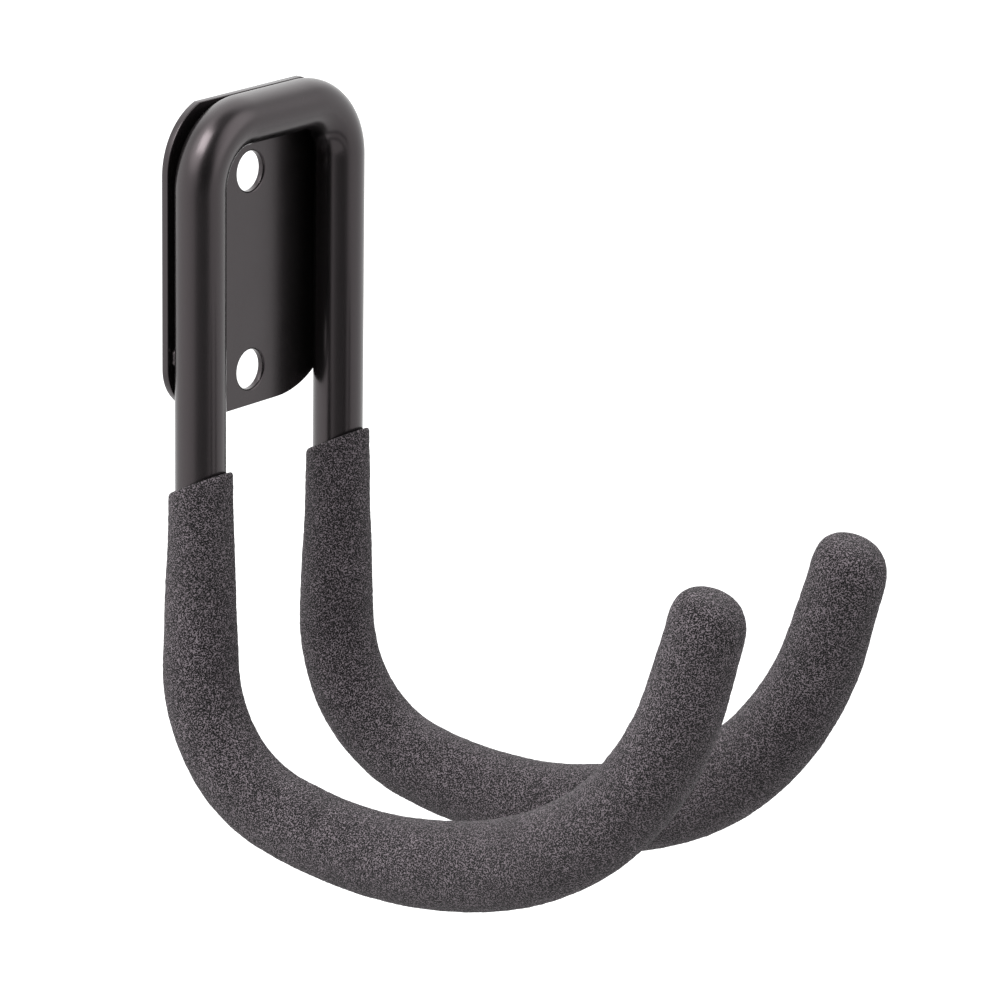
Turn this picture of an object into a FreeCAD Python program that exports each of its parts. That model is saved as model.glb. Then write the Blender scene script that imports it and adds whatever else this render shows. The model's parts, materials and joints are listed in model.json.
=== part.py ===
import FreeCAD
import Part
import math
import os

# Double storage hook for a wall. One round steel bar is bent into an upside-down U whose two legs
# run down and curl forward into J-shaped arms. The top of the U is welded to a flat wall plate, and
# each arm is covered by a closed-end foam sleeve.
#
# Millimetres, +Z up. The origin is on the plate's back face, midway between the two screw holes.
# The wall is at +Y and the arms reach towards -Y. "Forward" below means towards -Y.

# Steel bar
bar_diameter = 10.4  # 10 mm stock under 0.2 mm of coating
leg_spacing = 44.0
top_bar_z = 33.8
top_bend_radius = 12.5
leg_end_z = -77.4
arm_bends = [(28.4, 76.5), (104.0, 33.8), (67.2, 53.0)]  # bend radius, turn in degrees
tip_straight = 21.2
arm_splay = 0.8  # degrees that each arm turns outwards

# Wall plate
plate_thickness = 1.6
plate_width = 52.0
plate_height = 66.0
plate_centre_z = 4.75
upper_corner = (14.5, 54.0, 17.0, 16.0)  # radius, turn, turn of the flatter arc, half straight edge
lower_corner = (8.8, 43.0, 47.0, 8.6)
plate_edge_rounding = 0.2
hole_diameter = 8.3
hole_rim_rounding = 0.55  # the coating rounds the front rims of the holes
hole_spacing = 41.5

# Foam sleeves
foam_radii = [6.5, 7.5, 8.2, 8.5, 9.1, 8.95, 8.3, 7.6]  # even steps from open end to tip
foam_top_z = -39.0
foam_cut_slant = 25.5  # degrees, with the front of the cut higher
foam_dome_length = 9.4
foam_dome_power = 3.0  # superellipse power of the dome's profile
foam_dome_lean = 1.0  # how far the tip leans towards the inside of the curve
foam_lean_power = 1.5  # above 1, so that the lean starts gently
foam_tip_cover = 4.5  # foam beyond the end of the bar
foam_sections = 36
dome_sections = 10

# Weld beads
bead_radius = 0.9
side_bead_z = (-14.2, -12.2)
bead_offset = 2.3  # bead centreline off the bar's centreline, along the plate
top_bead_length = 14.0
bead_depth = 0.8  # bead centreline in front of the plate

bar_radius = bar_diameter / 2
bar_y = -plate_thickness - bar_radius
leg_x = leg_spacing / 2
sides = {"left": -1, "right": 1}


def arm_stretches():
    """Length and bend radius of each stretch of an arm, from the top bend down to the tip."""
    leg = (top_bar_z - top_bend_radius - leg_end_z, None)
    bends = [(radius * math.radians(turn), radius) for radius, turn in arm_bends]
    return [leg] + bends + [(tip_straight, None)]


def arm_length():
    """Length of an arm's centreline from the top bend to the foam's tip."""
    return sum(length for length, radius in arm_stretches())


def arm_station(distance):
    """Forward reach, height and heading at a distance along an arm's centreline."""
    forward = 0.0
    height = top_bar_z - top_bend_radius
    heading = math.radians(-90)
    for length, radius in arm_stretches():
        step = min(distance, length)
        distance -= step
        if radius is None:
            forward += step * math.cos(heading)
            height += step * math.sin(heading)
        else:
            turned = heading + step / radius
            forward += radius * (math.sin(turned) - math.sin(heading))
            height += radius * (math.cos(heading) - math.cos(turned))
            heading = turned
    return forward, height, heading


def arm_place(side, distance):
    """Point and direction, in the hook's frame, at a distance along one arm."""
    forward, height, heading = arm_station(distance)
    outward = math.sin(math.radians(arm_splay)) * side
    ahead = -math.cos(math.radians(arm_splay))
    point = FreeCAD.Vector(side * leg_x + forward * outward, bar_y + forward * ahead, height)
    flat = math.cos(heading)
    direction = FreeCAD.Vector(flat * outward, flat * ahead, math.sin(heading))
    return point, direction


def arm_edges(side, end):
    """Lines and arcs of one arm's centreline, from the top bend to a distance along it."""
    edges = []
    start = 0.0
    for length, radius in arm_stretches():
        stop = min(start + length, end)
        first = arm_place(side, start)[0]
        middle = arm_place(side, (start + stop) / 2)[0]
        last = arm_place(side, stop)[0]
        if radius is None:
            edges.append(Part.LineSegment(first, last).toShape())
        else:
            edges.append(Part.Arc(first, middle, last).toShape())
        start = stop
    return edges


def top_edges():
    """Centreline of the top of the U, from the left leg to the right one."""
    inner_x = leg_x - top_bend_radius
    bend_z = top_bar_z - top_bend_radius
    diagonal = top_bend_radius * math.sqrt(0.5)

    def bend(side):
        outer = FreeCAD.Vector(side * leg_x, bar_y, bend_z)
        middle = FreeCAD.Vector(side * (inner_x + diagonal), bar_y, bend_z + diagonal)
        inner = FreeCAD.Vector(side * inner_x, bar_y, top_bar_z)
        return Part.Arc(outer, middle, inner).toShape()

    left_end = FreeCAD.Vector(-inner_x, bar_y, top_bar_z)
    right_end = FreeCAD.Vector(inner_x, bar_y, top_bar_z)
    return [bend(-1), Part.LineSegment(left_end, right_end).toShape(), bend(1)]


def make_steel_bar():
    """One round bar bent into both arms and the U between them."""
    end = arm_length() - foam_tip_cover
    left = arm_edges(-1, end)
    edges = left[::-1] + top_edges() + arm_edges(1, end)
    spine = Part.Wire(Part.__sortEdges__(edges))
    point, direction = arm_place(-1, end)
    section = Part.Wire(Part.Circle(point, direction, bar_radius).toShape())
    return spine.makePipeShell([section], True, False)


def plate_corner(side, end, radius, turn, flatter_turn, reach):
    """Edges and end points of one corner: a tight arc from the side edge, then a flatter one."""
    turn = math.radians(turn)
    flatter_turn = math.radians(flatter_turn)
    arc_x = plate_width / 2 - radius
    run = arc_x + radius * math.cos(turn) - reach
    rise = run / math.tan(turn + flatter_turn / 2)
    arc_z = plate_height / 2 - rise - radius * math.sin(turn)
    flatter_radius = math.hypot(run, rise) / (2 * math.sin(flatter_turn / 2))
    setback = flatter_radius - radius

    def at(centre_setback, arc_radius, angle):
        x = arc_x - centre_setback * math.cos(turn) + arc_radius * math.cos(angle)
        z = arc_z - centre_setback * math.sin(turn) + arc_radius * math.sin(angle)
        return FreeCAD.Vector(side * x, 0, plate_centre_z + end * z)

    tight = [at(0, radius, turn * share) for share in (0, 0.5, 1)]
    flatter = [at(setback, flatter_radius, turn + flatter_turn * share) for share in (0, 0.5, 1)]
    edges = [Part.Arc(*points).toShape() for points in (tight, flatter)]
    return edges, tight[0], flatter[-1]


def plate_outline():
    """Closed outline of the plate, in its back face."""
    upper_right = plate_corner(1, 1, *upper_corner)
    upper_left = plate_corner(-1, 1, *upper_corner)
    lower_left = plate_corner(-1, -1, *lower_corner)
    lower_right = plate_corner(1, -1, *lower_corner)
    straights = [
        (upper_right[2], upper_left[2]),
        (upper_left[1], lower_left[1]),
        (lower_left[2], lower_right[2]),
        (lower_right[1], upper_right[1]),
    ]
    edges = [Part.LineSegment(first, last).toShape() for first, last in straights]
    for corner in (upper_right, upper_left, lower_left, lower_right):
        edges += corner[0]
    return Part.Wire(Part.__sortEdges__(edges))


def front_edges(plate):
    """Edges of the plate that lie at its front face."""
    return [edge for edge in plate.Edges if edge.BoundBox.YMax < -plate_thickness / 2]


def make_wall_plate():
    """Flat plate with two screw holes, one above the other, and rounded front edges."""
    thickness = FreeCAD.Vector(0, -plate_thickness, 0)
    plate = Part.Face(plate_outline()).extrude(thickness)
    plate = plate.makeFillet(plate_edge_rounding, front_edges(plate))
    for end in (-1, 1):
        centre = FreeCAD.Vector(0, 0, end * hole_spacing / 2)
        plate = plate.cut(Part.makeCylinder(hole_diameter / 2, plate_thickness, centre, thickness))
    hole_rims = [edge for edge in front_edges(plate) if edge.Closed]
    return plate.makeFillet(hole_rim_rounding, hole_rims)


def foam_radius(fraction):
    """Outer radius of the foam, on a smooth curve through its stated radii."""
    last = len(foam_radii) - 1
    step = min(int(fraction * last), last - 1)
    ease = fraction * last - step
    start = foam_radii[step]
    end = foam_radii[step + 1]
    start_slope = (end - foam_radii[max(step - 1, 0)]) / 2
    end_slope = (foam_radii[min(step + 2, last)] - start) / 2
    rise = end - start
    curve = 3 * rise - 2 * start_slope - end_slope
    twist = start_slope + end_slope - 2 * rise
    return start + start_slope * ease + curve * ease**2 + twist * ease**3


def foam_section(side, distance, radius, lean):
    """Circle across an arm, with its centre moved towards the inside of the curve."""
    point, direction = arm_place(side, distance)
    splay = math.radians(arm_splay)
    across = FreeCAD.Vector(math.cos(splay), side * math.sin(splay), 0)
    inward = direction.cross(across)
    return Part.Wire(Part.Circle(point + inward * lean, direction, radius).toShape())


def make_foam_sleeve(side, bar):
    """Closed-end foam sleeve on one arm, with its open end cut on a slant."""
    top = top_bar_z - top_bend_radius - foam_top_z
    start = top - foam_radii[0]
    tip = arm_length()
    dome_start = tip - foam_dome_length
    sections = []
    for index in range(foam_sections + 1):
        distance = start + (dome_start - start) * index / foam_sections
        radius = foam_radius(max(0.0, (distance - top) / (tip - top)))
        sections.append(foam_section(side, distance, radius, 0.0))
    end_radius = foam_radius((dome_start - top) / (tip - top))
    for index in range(1, dome_sections + 1):
        turn = math.radians(90 * index / (dome_sections + 1))
        rise = math.sin(turn) ** (2 / foam_dome_power)
        narrowing = math.cos(turn) ** (2 / foam_dome_power)
        distance = dome_start + foam_dome_length * rise
        lean = foam_dome_lean * rise**foam_lean_power
        sections.append(foam_section(side, distance, end_radius * narrowing, lean))
    body = Part.makeLoft(sections, True, False)

    reach = 3 * foam_radii[0]
    trim = Part.makeBox(2 * reach, 2 * reach, 2 * reach, FreeCAD.Vector(-reach, -reach, 0))
    slant = FreeCAD.Rotation(FreeCAD.Vector(1, 0, 0), -foam_cut_slant)
    trim.Placement = FreeCAD.Placement(FreeCAD.Vector(side * leg_x, bar_y, foam_top_z), slant)
    return body.cut(trim).cut(bar)


def make_bead(start, end, bar, plate):
    """Weld bead along a straight line in the crevice between the bar and the plate."""
    run = end - start
    bead = Part.makeCylinder(bead_radius, run.Length, start, run)
    for point in (start, end):
        bead = bead.fuse(Part.makeSphere(bead_radius, point))
    return bead.cut(bar).cut(plate)


def make_side_bead(side, bar, plate):
    """Bead in the crevice on the outside of one leg."""
    x = side * (leg_x + bead_offset)
    y = -plate_thickness - bead_depth
    ends = [FreeCAD.Vector(x, y, z) for z in side_bead_z]
    return make_bead(ends[0], ends[1], bar, plate)


def make_top_bead(bar, plate):
    """Bead in the crevice under the top of the U."""
    y = -plate_thickness - bead_depth
    z = top_bar_z - bead_offset
    ends = [FreeCAD.Vector(side * top_bead_length / 2, y, z) for side in (-1, 1)]
    return make_bead(ends[0], ends[1], bar, plate)


def main():
    bar = make_steel_bar()
    plate = make_wall_plate()
    parts = {"steel_bar": bar, "wall_plate": plate, "top_weld": make_top_bead(bar, plate)}
    for name, side in sides.items():
        parts["foam_sleeve_" + name] = make_foam_sleeve(side, bar)
        parts["side_weld_" + name] = make_side_bead(side, bar, plate)
    os.makedirs("parts", exist_ok=True)
    for name, shape in parts.items():
        shape.exportStep("parts/" + name + ".step")
        print(name, shape.isValid(), len(shape.Solids), "solid,", round(shape.Volume), "mm3")


main()
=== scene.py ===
import json
import math

import bmesh
import bpy
import numpy as np
from mathutils import Matrix, Vector, noise


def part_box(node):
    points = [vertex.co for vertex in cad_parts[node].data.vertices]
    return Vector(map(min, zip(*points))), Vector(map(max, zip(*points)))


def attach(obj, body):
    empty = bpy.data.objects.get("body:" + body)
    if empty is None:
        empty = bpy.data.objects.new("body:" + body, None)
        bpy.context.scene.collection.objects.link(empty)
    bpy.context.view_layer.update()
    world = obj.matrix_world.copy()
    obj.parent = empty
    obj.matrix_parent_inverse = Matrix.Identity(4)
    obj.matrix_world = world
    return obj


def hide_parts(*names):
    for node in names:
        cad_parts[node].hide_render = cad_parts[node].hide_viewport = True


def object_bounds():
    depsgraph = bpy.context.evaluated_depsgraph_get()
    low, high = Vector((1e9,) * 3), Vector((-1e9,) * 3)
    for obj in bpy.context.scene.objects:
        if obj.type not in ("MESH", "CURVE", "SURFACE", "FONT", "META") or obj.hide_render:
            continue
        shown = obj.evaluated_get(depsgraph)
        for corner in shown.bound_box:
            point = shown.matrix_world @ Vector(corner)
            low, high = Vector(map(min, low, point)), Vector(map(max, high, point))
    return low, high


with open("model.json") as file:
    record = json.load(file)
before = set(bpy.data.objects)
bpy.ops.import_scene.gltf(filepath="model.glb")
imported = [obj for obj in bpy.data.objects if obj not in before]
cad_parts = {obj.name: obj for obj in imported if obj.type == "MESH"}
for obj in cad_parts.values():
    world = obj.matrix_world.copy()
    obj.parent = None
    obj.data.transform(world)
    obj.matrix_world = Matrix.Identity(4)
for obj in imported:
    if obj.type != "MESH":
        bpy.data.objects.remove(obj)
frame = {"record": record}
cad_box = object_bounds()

# Double storage hook: a bent steel bar welded to a wall plate, with a foam sleeve on each arm.
# Metres, +Z up, the wall at +Y and the arms reaching forward to -Y, as in the CAD.

MM = 0.001

# ---- Sizes read from the frame ----
plate_low, plate_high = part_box("wall_plate")
bar_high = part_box("steel_bar")[1]
plate_thickness = plate_high.y - plate_low.y
bar_radius = 5.2 * MM
bar_y = plate_low.y - bar_radius
top_bar_z = bar_high.z - bar_radius

# ---- Bar centreline, as in the CAD ----
leg_x = 22.0 * MM
top_bend_radius = 12.5 * MM
leg_end_z = -77.4 * MM
arm_bends = [(28.4 * MM, 76.5), (104.0 * MM, 33.8), (67.2 * MM, 53.0)]  # radius, turn in degrees
tip_straight = 21.2 * MM
arm_splay = math.radians(0.8)

# ---- Foam sleeves ----
foam_radii = [6.5, 7.5, 8.2, 8.5, 9.1, 8.95, 8.3, 7.6]  # millimetres, even steps to the tip
foam_top_z = -39.0 * MM
foam_cut_slant = math.radians(25.5)
foam_dome_length = 9.4 * MM
foam_dome_power = 3.0  # superellipse power of the dome's profile
foam_dome_lean = 1.0 * MM  # how far the tip leans towards the inside of the curve
foam_lean_power = 1.5
foam_tip_cover = 4.5 * MM

# ---- Weld beads ----
bead_radius = 0.9 * MM
bead_offset = 2.3 * MM  # bead centreline off the bar's centreline, along the plate
bead_depth = 0.8 * MM  # bead centreline in front of the plate

# ---- Wall plate ----
upper_corner = (14.5 * MM, 54.0, 17.0, 16.0 * MM)  # radius, turn, turn of the flatter arc, half edge
lower_corner = (8.8 * MM, 43.0, 47.0, 8.6 * MM)
edge_rounding = 0.2 * MM
rim_rounding = 0.55 * MM  # the coating rounds the front rims of the holes
bolts = next(mount for mount in frame["record"]["mounts"] if mount["kind"] == "bolt_pattern")
hole_radius = bolts["dims"]["hole_r_mm"] * MM
hole_z = bolts["dims"]["spacing_y_mm"] * MM / 2
drawn_hole_radius = hole_radius + rim_rounding - edge_rounding  # puts the front rim in its place

sides = {"left": -1, "right": 1}


# ---- Bar geometry ----
def arm_stretches():
    """Length and bend radius of each stretch of an arm, from the top bend down to the tip."""
    leg = (top_bar_z - top_bend_radius - leg_end_z, None)
    bends = [(radius * math.radians(turn), radius) for radius, turn in arm_bends]
    return [leg] + bends + [(tip_straight, None)]


arm_length = sum(length for length, radius in arm_stretches())


def arm_station(distance):
    """Forward reach, height and heading at distances along an arm's centreline."""
    distance = np.array(distance, float)
    forward = np.zeros_like(distance)
    height = np.full_like(distance, top_bar_z - top_bend_radius)
    heading = np.full_like(distance, math.radians(-90))
    for length, radius in arm_stretches():
        step = np.clip(distance, 0, length) if radius else np.minimum(distance, length)
        distance = distance - step
        if radius is None:
            forward = forward + step * np.cos(heading)
            height = height + step * np.sin(heading)
        else:
            turned = heading + step / radius
            forward = forward + radius * (np.sin(turned) - np.sin(heading))
            height = height + radius * (np.cos(heading) - np.cos(turned))
            heading = turned
    return forward, height, heading


def arm_place(side, distance):
    """Points and directions at distances along one arm, in the hook's frame."""
    forward, height, heading = arm_station(distance)
    outward = math.sin(arm_splay) * side
    ahead = -math.cos(arm_splay)
    points = np.stack([side * leg_x + forward * outward, bar_y + forward * ahead, height], -1)
    flat = np.cos(heading)
    directions = np.stack([flat * outward, flat * ahead, np.sin(heading)], -1)
    return points, directions


def top_centreline(spacing):
    """Points and directions over the top of the U, from the left leg to the right one."""
    inner_x = leg_x - top_bend_radius
    bend_z = top_bar_z - top_bend_radius
    turns = np.linspace(0, math.pi / 2, int(top_bend_radius * math.pi / 2 / spacing) + 1)
    rise = np.stack([np.sin(turns), 0 * turns, np.cos(turns)], -1)
    left = np.stack([-inner_x - top_bend_radius * np.cos(turns), 0 * turns + bar_y,
                     bend_z + top_bend_radius * np.sin(turns)], -1)
    run = np.linspace(-inner_x, inner_x, int(2 * inner_x / spacing) + 1)[1:-1]
    middle = np.stack([run, 0 * run + bar_y, 0 * run + top_bar_z], -1)
    along = np.tile([1.0, 0.0, 0.0], (len(run), 1))
    right = (left * [-1, 1, 1])[::-1]
    fall = (rise * [1, 1, -1])[::-1]
    return np.vstack([left, middle, right]), np.vstack([rise, along, fall])


def carried_axes(directions, first):
    """Two axes across a path at each of its points, turned as little as possible along it."""
    across = []
    axis = np.array(first, float)
    for direction in directions:
        axis = axis - axis.dot(direction) * direction
        axis = axis / np.linalg.norm(axis)
        across.append(axis)
    across = np.array(across)
    return across, np.cross(directions, across)


def mesh_from_rings(name, rings, cap_points):
    """A closed mesh over rings of points, with a fan to a cap point at each end."""
    count = len(rings[0])
    points = np.vstack(list(rings) + [np.array(cap_points)])
    faces = []
    for row in range(len(rings) - 1):
        for column in range(count):
            after = (column + 1) % count
            low, high = row * count, (row + 1) * count
            faces.append((low + column, low + after, high + after, high + column))
    start_point = len(rings) * count
    last = (len(rings) - 1) * count
    for column in range(count):
        after = (column + 1) % count
        faces.append((start_point, after, column))
        faces.append((start_point + 1, last + column, last + after))
    mesh = bpy.data.meshes.new(name)
    mesh.from_pydata(points.tolist(), [], faces)
    mesh.polygons.foreach_set("use_smooth", [True] * len(mesh.polygons))
    mesh.update()
    piece = bpy.data.objects.new(name, mesh)
    bpy.context.scene.collection.objects.link(piece)
    return piece


def make_bar():
    """The round bar, swept from tip to tip, with a small chamfer at each sawn end."""
    around = 72
    spacing = 0.8 * MM
    chamfer = 0.5 * MM
    end = arm_length - foam_tip_cover
    stations = np.linspace(0, end, int(end / spacing))
    points, directions = arm_place(-1, stations[::-1])
    top_points, top_directions = top_centreline(spacing)
    right_points, right_directions = arm_place(1, stations)
    path = np.vstack([points, top_points[1:-1], right_points])
    headings = np.vstack([-directions, top_directions[1:-1], right_directions])
    across, over = carried_axes(headings, (1, 0, 0))
    radii = np.full(len(path), bar_radius)
    radii[[0, -1]] = bar_radius - chamfer
    path[1] = path[0] + headings[0] * chamfer
    path[-2] = path[-1] - headings[-1] * chamfer
    turns = np.linspace(0, 2 * math.pi, around, endpoint=False)
    ring = across[:, None] * np.cos(turns)[None, :, None] + over[:, None] * np.sin(turns)[None, :, None]
    rings = path[:, None] + radii[:, None, None] * ring
    return mesh_from_rings("bent_bar", rings, (path[0], path[-1]))


# ---- Foam sleeves ----
def foam_radius(fraction):
    """Outer radius of the foam, on a smooth curve through its stated radii."""
    last = len(foam_radii) - 1
    fraction = np.clip(fraction, 0, 1)
    step = np.minimum((fraction * last).astype(int), last - 1)
    ease = fraction * last - step
    radii = np.array(foam_radii) * MM
    start, end = radii[step], radii[step + 1]
    start_slope = (end - radii[np.maximum(step - 1, 0)]) / 2
    end_slope = (radii[np.minimum(step + 2, last)] - start) / 2
    rise = end - start
    curve = 3 * rise - 2 * start_slope - end_slope
    twist = start_slope + end_slope - 2 * rise
    return start + start_slope * ease + curve * ease**2 + twist * ease**3


def dome_profile(start, start_radius, spacing):
    """Distances and radii over the sleeve's domed end, about evenly spaced along its skin."""
    fine_steps = 2000
    turns = np.linspace(0, math.pi / 2, fine_steps)
    distances = start + foam_dome_length * np.sin(turns) ** (2 / foam_dome_power)
    radii = start_radius * np.maximum(np.cos(turns), 0) ** (2 / foam_dome_power)
    travelled = np.append(0, np.cumsum(np.hypot(np.diff(distances), np.diff(radii))))
    stops = np.linspace(0, travelled[-1] - spacing / 2, int(travelled[-1] / spacing))[1:]
    return zip(np.interp(stops, travelled, distances), np.interp(stops, travelled, radii))


def make_sleeve(name, side, spacing):
    """A closed foam sleeve: bore, slanted rim, pored outer skin and rounded tip, in one surface."""
    girth = 52 * MM
    around = int(girth / spacing)
    bore_rows, lip_rows, rim_rows = 100, 5, 8
    gap = 0.05 * MM
    rim_rounding = 0.7 * MM
    lip_rounding = 0.3 * MM
    slant_fade = 26 * MM
    top = top_bar_z - top_bend_radius - foam_top_z
    bore_end = arm_length - foam_tip_cover + gap
    bore = bar_radius + gap

    inner = np.linspace(bore_end, top + lip_rounding, bore_rows)
    rows = [(distance, bore, 0) for distance in inner]
    for turn in np.linspace(0, math.pi / 2, lip_rows)[1:]:
        rows.append((top + lip_rounding * (1 - math.sin(turn)),
                     bore + lip_rounding * (1 - math.cos(turn)), 0))
    rim_radius = float(foam_radius(np.array(0.0)))
    for turn in np.linspace(0, math.pi / 2, rim_rows)[:-1]:
        rows.append((top + rim_rounding * (1 - math.cos(turn)),
                     rim_radius - rim_rounding * (1 - math.sin(turn)), 0))
    body_end = arm_length - foam_dome_length
    body = np.linspace(top + rim_rounding, body_end, int((body_end - top) / spacing))
    radii = foam_radius((body - top) / (arm_length - top))
    rows += [(distance, radius, 1) for distance, radius in zip(body, radii)]
    for distance, radius in dome_profile(body_end, radii[-1], spacing):
        rows.append((distance, radius, 1))

    distance, radius, outer = (np.array(column) for column in zip(*rows))
    turns = np.linspace(0, 2 * math.pi, around, endpoint=False)
    toward_wall = math.tan(foam_cut_slant) * radius[:, None] * np.sin(turns)[None]
    fade = np.clip(1 - (distance - top) / slant_fade, 0, 1)[:, None]
    places, directions = arm_place(side, distance[:, None] + toward_wall * fade)
    across = np.array([math.cos(arm_splay), side * math.sin(arm_splay), 0])
    over = np.cross(across, directions)
    outward = across * np.cos(turns)[None, :, None] + over * np.sin(turns)[None, :, None]
    rise = np.clip((distance - body_end) / foam_dome_length, 0, 1)
    lean = (foam_dome_lean * rise**foam_lean_power)[:, None, None]
    rings = places + radius[:, None, None] * outward - lean * over
    rings = roughen(rings, outward, outer, side)
    tip = rings[-1].mean(0)
    bottom = arm_place(side, np.array(bore_end))[0]
    return mesh_from_rings(name, rings, (bottom, tip))


def roughen(rings, outward, outer, side):
    """Moves the outer skin in and out: soft hand-made unevenness and an open foam grain."""
    swell, swell_size = 0.16 * MM, 14 * MM
    lump, lump_size = 0.07 * MM, 3.2 * MM
    grain, grain_size = 0.09 * MM, 0.85 * MM
    offset = Vector((3.7, 1.3, 8.1)) * (side + 2)
    moved = rings.copy()
    for row in np.flatnonzero(outer):
        for column in range(rings.shape[1]):
            point = Vector(rings[row, column])
            height = swell * noise.noise(point / swell_size + offset)
            height += lump * noise.noise(point / lump_size + offset)
            height += grain * noise.noise(point / grain_size + offset)
            moved[row, column] += outward[row, column] * height
    return moved


# ---- Wall plate ----
def plate_corner(side, end, radius, turn, flatter_turn, reach):
    """Points of one corner, up from the side edge: a tight arc, then a flatter one."""
    steps = 20
    turn = math.radians(turn)
    flatter_turn = math.radians(flatter_turn)
    centre_z = (plate_high.z + plate_low.z) / 2
    arc_x = (plate_high.x - plate_low.x) / 2 - radius
    run = arc_x + radius * math.cos(turn) - reach
    rise = run / math.tan(turn + flatter_turn / 2)
    arc_z = (plate_high.z - plate_low.z) / 2 - rise - radius * math.sin(turn)
    flatter_radius = math.hypot(run, rise) / (2 * math.sin(flatter_turn / 2))
    setback = flatter_radius - radius
    points = []
    for share in np.linspace(0, 1, steps)[:-1]:
        angle = turn * share
        points.append((arc_x + radius * math.cos(angle), arc_z + radius * math.sin(angle)))
    for share in np.linspace(0, 1, steps):
        angle = turn + flatter_turn * share
        points.append((arc_x - setback * math.cos(turn) + flatter_radius * math.cos(angle),
                       arc_z - setback * math.sin(turn) + flatter_radius * math.sin(angle)))
    return [(side * x, centre_z + end * z) for x, z in points]


def make_plate():
    """The wall plate: its outline and two holes, filled, thickened and rounded along every edge."""
    hole_points, rounding_steps = 72, 3
    outline = plate_corner(1, 1, *upper_corner)
    outline += plate_corner(-1, 1, *upper_corner)[::-1]
    outline += plate_corner(-1, -1, *lower_corner)
    outline += plate_corner(1, -1, *lower_corner)[::-1]
    turns = np.linspace(0, 2 * math.pi, hole_points, endpoint=False)
    loops = [outline]
    for end in (-1, 1):
        loops.append([(drawn_hole_radius * math.cos(turn),
                       end * hole_z + drawn_hole_radius * math.sin(turn)) for turn in turns])

    curve = bpy.data.curves.new("plate_outline", "CURVE")
    curve.dimensions = "2D"
    curve.fill_mode = "BOTH"
    curve.extrude = plate_thickness / 2 - edge_rounding
    curve.bevel_depth = edge_rounding
    curve.bevel_resolution = rounding_steps
    curve.offset = -edge_rounding
    for loop in loops:
        spline = curve.splines.new("POLY")
        spline.points.add(len(loop) - 1)
        spline.use_cyclic_u = True
        for point, (x, z) in zip(spline.points, loop):
            point.co = (x, z, 0, 1)
    drawn = bpy.data.objects.new("plate_outline", curve)
    bpy.context.scene.collection.objects.link(drawn)
    bpy.context.view_layer.update()
    mesh = bpy.data.meshes.new_from_object(drawn.evaluated_get(bpy.context.evaluated_depsgraph_get()))
    bpy.data.objects.remove(drawn)
    upright = Matrix.Translation((0, -plate_thickness / 2, 0)) @ Matrix.Rotation(math.pi / 2, 4, "X")
    mesh.transform(upright)
    for end in (-1, 1):
        round_hole_rim(mesh, end * hole_z)
    plate = bpy.data.objects.new("screw_plate", mesh)
    bpy.context.scene.collection.objects.link(plate)
    shade_plate(mesh)
    return plate


def round_hole_rim(mesh, centre_z):
    """Brings a hole to its size, with a front rim rounded more than the plate's other edges."""
    near = 1.01 * edge_rounding  # just beyond the rounding as it was drawn
    for vertex in mesh.vertices:
        from_axis = Vector((vertex.co.x, vertex.co.z - centre_z))
        reach = from_axis.length - drawn_hole_radius
        depth = vertex.co.y - plate_low.y
        if reach < near:
            grow = rim_rounding / edge_rounding if depth < near else 1
            spot = from_axis.normalized() * (hole_radius + reach * grow)
            vertex.co = (spot.x, plate_low.y + depth * grow, centre_z + spot.y)


def shade_plate(mesh):
    """Joins doubled points, and shades the rounded edges smoothly up to quite flat faces."""
    tiny = 0.002 * MM
    joined = bmesh.new()
    joined.from_mesh(mesh)
    bmesh.ops.remove_doubles(joined, verts=joined.verts, dist=tiny)
    joined.to_mesh(mesh)
    joined.free()
    mesh.polygons.foreach_set("use_smooth", [True] * len(mesh.polygons))
    normals = []
    for vertex in mesh.vertices:
        if vertex.co.y < plate_low.y + tiny:
            normals.append((0, -1, 0))
        elif vertex.co.y > plate_high.y - tiny:
            normals.append((0, 1, 0))
        else:
            normals.append(vertex.normal)
    mesh.normals_split_custom_set_from_vertices(normals)


# ---- Weld beads ----
def make_bead(name, node):
    """A painted-over weld bead along the length of its CAD node, uneven and faintly rippled."""
    low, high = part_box(node)
    centre = (low + high) / 2
    size = high - low
    upright = size.z > size.x
    ripple, ripple_pitch = 0.035 * MM, 0.9 * MM
    wander_size, wander_share = 2 * MM, 0.6  # how the ripples stray from an even pitch
    unevenness, unevenness_size = 0.2 * MM, 1.7 * MM
    least_radius = 0.02 * MM
    around, spacing = 40, 0.08 * MM
    half = max(size.x, size.z) / 2
    offset = Vector((5.1, 2.2, 9.4)) + centre / MM
    bead_y = plate_low.y - bead_depth
    if upright:
        middle = np.array([math.copysign(leg_x + bead_offset, centre.x), bead_y, centre.z])
    else:
        middle = np.array([centre.x, bead_y, top_bar_z - bead_offset])
    direction = np.array([0.0, 0.0, 1.0] if upright else [1.0, 0.0, 0.0])
    across = np.array([0.0, 1.0, 0.0])
    over = np.cross(direction, across)
    turns = np.linspace(0, 2 * math.pi, around, endpoint=False)
    rings = []
    for station in np.linspace(-half, half, int(2 * half / spacing)):
        inset = max(0.0, abs(station) - (half - bead_radius)) / bead_radius
        body = math.sqrt(max(0.0, 1 - inset**2))
        spot = middle + direction * station
        wander = noise.noise(Vector(spot) / wander_size + offset)
        wave = ripple * math.sin(2 * math.pi * (station / ripple_pitch + wander_share * wander))
        ring = []
        for turn in turns:
            out = math.cos(turn) * across + math.sin(turn) * over
            skin = Vector(spot + out * bead_radius)
            rough = noise.noise(skin / unevenness_size + offset) * unevenness
            reach = max(least_radius, (bead_radius + wave + rough) * body)
            ring.append(spot + reach * out)
        rings.append(ring)
    rings = np.array(rings)
    return mesh_from_rings(name, rings, (rings[0].mean(0), rings[-1].mean(0)))


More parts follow.
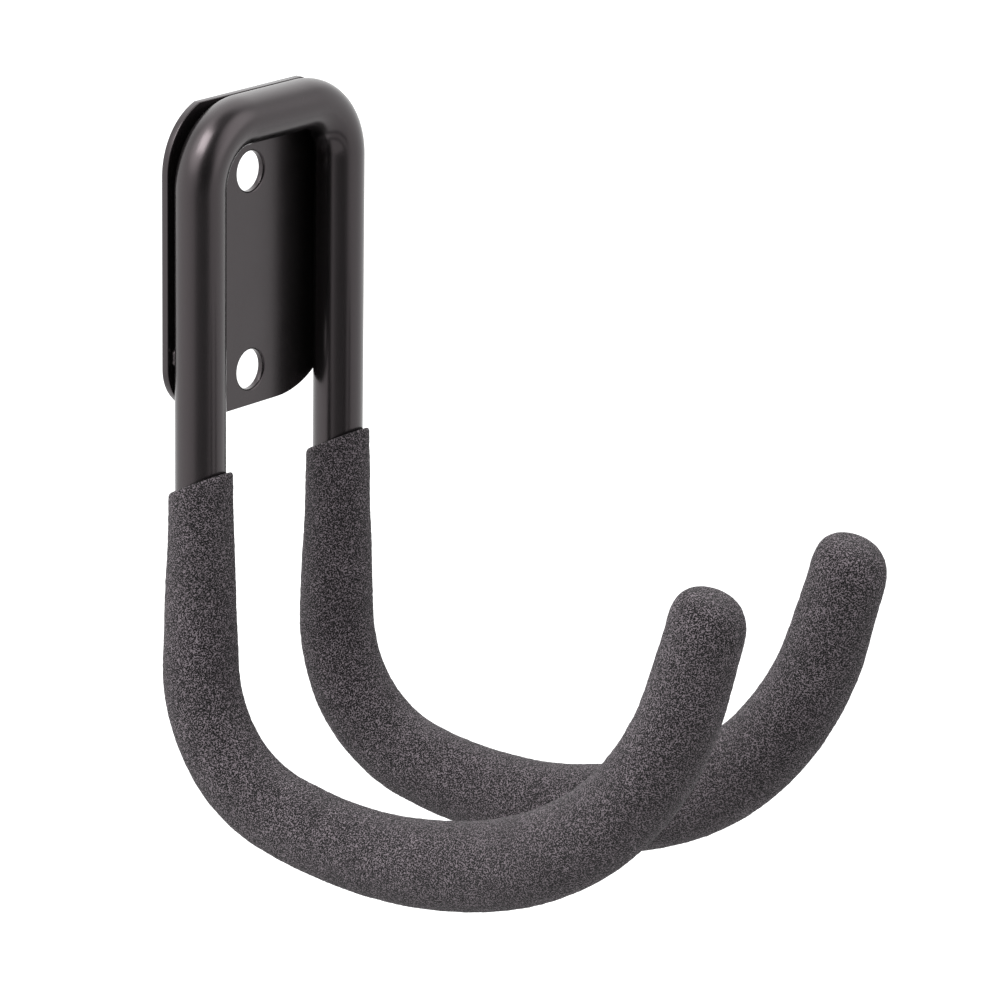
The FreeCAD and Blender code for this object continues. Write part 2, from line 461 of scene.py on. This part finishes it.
# ---- Materials ----
def new_material(name):
    """An empty node material with its shader, and a function that adds linked nodes."""
    material = bpy.data.materials.new(name)
    material.use_nodes = True
    tree = material.node_tree
    shader = tree.nodes["Principled BSDF"]

    def add(kind, inputs=None, **settings):
        node = tree.nodes.new(kind)
        for key, value in settings.items():
            setattr(node, key, value)
        for key, value in (inputs or {}).items():
            if isinstance(value, bpy.types.NodeSocket):
                tree.links.new(value, node.inputs[key])
            else:
                node.inputs[key].default_value = value
        return node

    return material, shader, add, tree.links.new


def paint_material(name, streak_axis):
    """Semi-gloss black coating over steel: slight orange peel, faint streaks and fine scuffs."""
    material, shader, add, link = new_material(name)
    place = add("ShaderNodeTexCoord").outputs["Object"]
    stretch = [1.0, 1.0, 1.0]
    stretch[streak_axis] = 0.05
    peel = add("ShaderNodeTexNoise", {"Vector": place, "Scale": 450.0, "Detail": 2.0})
    along = add("ShaderNodeMapping", {"Vector": place, "Scale": stretch})
    streaks = add("ShaderNodeTexNoise", {"Vector": along.outputs[0], "Scale": 900.0, "Detail": 3.0})
    clouds = add("ShaderNodeTexNoise", {"Vector": place, "Scale": 90.0, "Detail": 4.0})
    specks = add("ShaderNodeTexVoronoi", {"Vector": place, "Scale": 420.0})

    rough = add("ShaderNodeMapRange", {"Value": clouds.outputs["Fac"], "From Min": 0.3, "From Max": 0.7,
                                       "To Min": 0.2, "To Max": 0.25})
    streaked = add("ShaderNodeMath", {0: streaks.outputs["Fac"], 1: 0.04}, operation="MULTIPLY")
    roughness = add("ShaderNodeMath", {0: rough.outputs[0], 1: streaked.outputs[0]}, operation="ADD")
    link(roughness.outputs[0], shader.inputs["Roughness"])

    spots = add("ShaderNodeMapRange", {"Value": specks.outputs["Distance"], "From Min": 0.0,
                                       "From Max": 0.10, "To Min": 1.0, "To Max": 0.0})
    tint = add("ShaderNodeMix", {"Factor": spots.outputs[0]}, data_type="RGBA")
    tint.inputs["A"].default_value = (0.004, 0.0037, 0.0038, 1)
    tint.inputs["B"].default_value = (0.012, 0.0115, 0.0117, 1)
    link(tint.outputs["Result"], shader.inputs["Base Color"])

    relief = add("ShaderNodeMath", {0: peel.outputs["Fac"], 1: streaks.outputs["Fac"]}, operation="ADD")
    bump = add("ShaderNodeBump", {"Height": relief.outputs[0], "Strength": 0.05, "Distance": 0.02 * MM})
    link(bump.outputs[0], shader.inputs["Normal"])
    shader.inputs["IOR"].default_value = 1.5
    shader.inputs["Specular Tint"].default_value = (1.0, 0.87, 0.91, 1)
    return material


def foam_material():
    """Charcoal closed-cell foam: fine open pores, lighter cell walls and slightly uneven shade."""
    material, shader, add, link = new_material("charcoal_foam")
    place = add("ShaderNodeTexCoord").outputs["Object"]
    cells = add("ShaderNodeTexVoronoi", {"Vector": place, "Scale": 3300.0})
    grain = add("ShaderNodeTexNoise", {"Vector": place, "Scale": 4100.0, "Detail": 2.0,
                                       "Roughness": 0.7})
    patches = add("ShaderNodeTexNoise", {"Vector": place, "Scale": 160.0, "Detail": 3.0})

    pores = add("ShaderNodeMapRange", {"Value": cells.outputs["Distance"], "From Min": 0.1,
                                       "From Max": 0.75, "To Min": -0.5, "To Max": 0.5})
    specks = add("ShaderNodeMapRange", {"Value": grain.outputs["Fac"], "From Min": 0.25,
                                        "From Max": 0.75, "To Min": -0.5, "To Max": 0.5}, clamp=False)
    mixed = add("ShaderNodeMath", {0: specks.outputs[0], 1: pores.outputs[0]}, operation="ADD")
    ramp = add("ShaderNodeMapRange", {"Value": mixed.outputs[0], "From Min": 0.05, "From Max": 0.55})
    tint = add("ShaderNodeMix", {"Factor": ramp.outputs[0]}, data_type="RGBA")
    tint.inputs["A"].default_value = (0.0008, 0.0007, 0.0008, 1)
    tint.inputs["B"].default_value = (0.124, 0.1055, 0.117, 1)
    shade = add("ShaderNodeMapRange", {"Value": patches.outputs["Fac"], "From Min": 0.3,
                                       "From Max": 0.7, "To Min": 0.86, "To Max": 1.14})
    tinted = add("ShaderNodeVectorMath", {0: tint.outputs["Result"], 1: shade.outputs[0]},
                 operation="MULTIPLY")
    link(tinted.outputs[0], shader.inputs["Base Color"])

    bump = add("ShaderNodeBump", {"Height": mixed.outputs[0], "Strength": 1.0, "Distance": 0.16 * MM})
    link(bump.outputs[0], shader.inputs["Normal"])
    roughness = add("ShaderNodeMapRange", {"Value": grain.outputs["Fac"], "To Min": 0.75,
                                           "To Max": 0.95})
    link(roughness.outputs[0], shader.inputs["Roughness"])
    shader.inputs["Sheen Weight"].default_value = 0.04
    shader.inputs["Sheen Roughness"].default_value = 0.5
    shader.inputs["Specular IOR Level"].default_value = 0.15
    return material


def floor_material():
    """Pale matt studio floor."""
    material, shader, add, link = new_material("studio_floor")
    place = add("ShaderNodeTexCoord").outputs["Object"]
    mottle = add("ShaderNodeTexNoise", {"Vector": place, "Scale": 3.0})
    shade = add("ShaderNodeMapRange", {"Value": mottle.outputs["Fac"], "To Min": 0.50, "To Max": 0.54})
    link(shade.outputs[0], shader.inputs["Base Color"])
    shader.inputs["Roughness"].default_value = 0.9
    return material


# ---- Studio ----
def direction_from(azimuth, elevation):
    """Unit vector towards an azimuth round from the front (-Y) to the right, and an elevation."""
    turn, rise = math.radians(azimuth), math.radians(elevation)
    return Vector((math.sin(turn) * math.cos(rise), -math.cos(turn) * math.cos(rise), math.sin(rise)))


def make_camera():
    """The main view: a long lens from the front left, a little above, rolled very slightly."""
    azimuth, elevation, roll = -52.68, 16.13, 0.783
    distance = 1227.8 * MM
    aim = Vector((0, -66.6, -46.0)) * MM
    shift_right, shift_up = -0.26 * MM, 9.2 * MM
    camera_data = bpy.data.cameras.new("camera")
    camera_data.sensor_width = 36.0
    camera_data.lens = 221.7
    camera_data.clip_start = 0.05
    camera = bpy.data.objects.new("camera", camera_data)
    back = direction_from(azimuth, elevation)
    right = Vector((0, 0, 1)).cross(back).normalized()
    up = back.cross(right)
    cos_roll, sin_roll = math.cos(math.radians(roll)), math.sin(math.radians(roll))
    right, up = right * cos_roll + up * sin_roll, up * cos_roll - right * sin_roll
    place = aim + right * shift_right + up * shift_up + back * distance
    camera.matrix_world = Matrix.Translation(place) @ Matrix((right, up, back)).transposed().to_4x4()
    bpy.context.scene.collection.objects.link(camera)
    bpy.context.scene.camera = camera


def make_softbox(name, azimuth, elevation, distance, width, height, power):
    """A rectangular soft light aimed at the middle of the hook."""
    light_data = bpy.data.lights.new(name, "AREA")
    light_data.shape = "RECTANGLE"
    light_data.size = width
    light_data.size_y = height
    light_data.energy = power
    light = bpy.data.objects.new(name, light_data)
    target = (cad_box[0] + cad_box[1]) / 2
    back = direction_from(azimuth, elevation)
    light.location = target + back * distance
    light.rotation_mode = "QUATERNION"
    light.rotation_quaternion = back.to_track_quat("Z", "Y")
    bpy.context.scene.collection.objects.link(light)


def make_room_light():
    """Soft white light all round, as from large diffusers, with brighter and darker patches.

    Each patch has a direction (azimuth, elevation), the angles from it where it starts and stops
    fading, and how much it adds to the light there, or the share that it takes away. The front
    patch is added last, so that the shade takes nothing from it."""
    even_light = 1.45
    lit_patches = [(-95, 50, 14, 42, 2.6), (-125, 12, 15, 50, 0.5), (130, 54, 15, 46, 1.0)]
    dark_patches = [(-31, 24, 16, 44, 0.95), (-8, 66, 12, 34, 0.7), (-42, -14, 11, 43, 0.75)]
    front_patch = (18, 27, 16, 34, 1.8)
    world = bpy.data.worlds.new("studio")
    world.use_nodes = True
    nodes, link = world.node_tree.nodes, world.node_tree.links.new
    background = nodes["Background"]
    toward = nodes.new("ShaderNodeTexCoord").outputs["Generated"]

    def math_node(operation, first, second):
        node = nodes.new("ShaderNodeMath")
        node.operation = operation
        for socket, value in zip(node.inputs, (first, second)):
            if isinstance(value, bpy.types.NodeSocket):
                link(value, socket)
            else:
                socket.default_value = value
        return node.outputs[0]

    def patch(azimuth, elevation, core, edge, gain):
        facing = nodes.new("ShaderNodeVectorMath")
        facing.operation = "DOT_PRODUCT"
        facing.inputs[1].default_value = direction_from(azimuth, elevation)
        link(toward, facing.inputs[0])
        fade = nodes.new("ShaderNodeMapRange")
        fade.interpolation_type = "SMOOTHSTEP"
        fade.inputs["From Min"].default_value = math.cos(math.radians(edge))
        fade.inputs["From Max"].default_value = math.cos(math.radians(core))
        fade.inputs["To Max"].default_value = gain
        link(facing.outputs["Value"], fade.inputs["Value"])
        return fade.outputs[0]

    strength = even_light
    for settings in lit_patches:
        strength = math_node("ADD", strength, patch(*settings))
    for settings in dark_patches:
        strength = math_node("MULTIPLY", strength, math_node("SUBTRACT", 1.0, patch(*settings)))
    strength = math_node("ADD", strength, patch(*front_patch))
    backdrop = nodes.new("ShaderNodeMix")
    link(nodes.new("ShaderNodeLightPath").outputs["Is Camera Ray"], backdrop.inputs["Factor"])
    link(strength, backdrop.inputs["A"])
    backdrop.inputs["B"].default_value = even_light
    link(backdrop.outputs["Result"], background.inputs["Strength"])
    background.inputs["Color"].default_value = (1, 1, 1, 1)
    bpy.context.scene.world = world


def make_floor():
    """A round pale floor, well below the hook."""
    radius, drop, rim_points = 0.9, 0.35, 96
    z = cad_box[0].z - drop
    turns = np.linspace(0, 2 * math.pi, rim_points, endpoint=False)
    mesh = bpy.data.meshes.new("studio_floor")
    rim = [(radius * math.cos(turn), radius * math.sin(turn), z) for turn in turns]
    mesh.from_pydata(rim, [], [tuple(range(len(rim)))])
    floor = bpy.data.objects.new("studio_floor", mesh)
    floor.data.materials.append(floor_material())
    bpy.context.scene.collection.objects.link(floor)


def finish_piece(piece, node, material):
    """Gives a piece its material and slot, hides its CAD node and ties it to the hook's one body."""
    piece.data.materials.append(material)
    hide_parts(node)
    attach(piece, "root")


make_camera()
make_room_light()
make_softbox("key_softbox", azimuth=-88, elevation=55, distance=1.6, width=0.9, height=0.75, power=24)
make_floor()

bar_paint = paint_material("bar_paint", 2)
plate_paint = paint_material("plate_paint", 2)
weld_paint = paint_material("weld_paint", 0)
sleeve_foam = foam_material()

finish_piece(make_bar(), "steel_bar", bar_paint)
finish_piece(make_plate(), "wall_plate", plate_paint)
finish_piece(make_bead("bead_under_top", "top_weld"), "top_weld", weld_paint)
skin_spacing = 0.38 * MM
for side_name, side_sign in sides.items():
    sleeve = make_sleeve("foam_" + side_name, side_sign, skin_spacing)
    finish_piece(sleeve, "foam_sleeve_" + side_name, sleeve_foam)
    bead_node = "side_weld_" + side_name
    finish_piece(make_bead("side_bead_" + side_name, bead_node), bead_node, weld_paint)

bpy.context.scene.view_settings.view_transform = "Standard"
bpy.context.scene.view_settings.look = "None"
